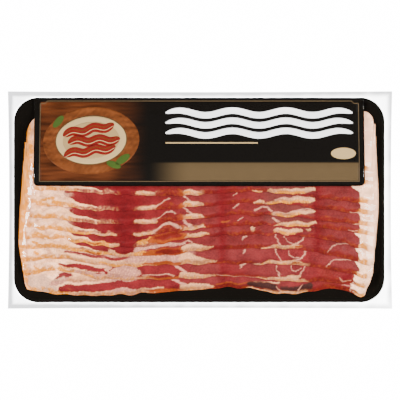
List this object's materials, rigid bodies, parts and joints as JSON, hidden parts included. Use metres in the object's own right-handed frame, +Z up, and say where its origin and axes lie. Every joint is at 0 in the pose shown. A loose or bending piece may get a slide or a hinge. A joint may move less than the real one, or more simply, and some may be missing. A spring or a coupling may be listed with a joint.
{
  "type": "bacon pack",
  "caption": "Flat clear vacuum pack of shingled bacon slices on a dark card whose top edge folds over as a plain label flap.",
  "frame": {"origin": "on the surface the pack rests on, under the middle of the film", "axes": "+X along the slices, +Y towards the folded edge with the label flap, +Z up out of the face that shows"},
  "size_m": [0.28, 0.1584, 0.0205],
  "materials": {
    "film": "clear, glossy",
    "card": "coated board, satin",
    "bacon": "moist, uneven"
  },
  "bodies": {
    "root": {"sealed_film": "film", "folded_card": "card", "bacon_slice_01": "bacon", "bacon_slice_02": "bacon", "bacon_slice_03": "bacon", "bacon_slice_04": "bacon", "bacon_slice_05": "bacon", "bacon_slice_06": "bacon", "bacon_slice_07": "bacon", "bacon_slice_08": "bacon", "bacon_slice_09": "bacon", "bacon_slice_10": "bacon", "bacon_slice_11": "bacon"}
  },
  "joints": []
}
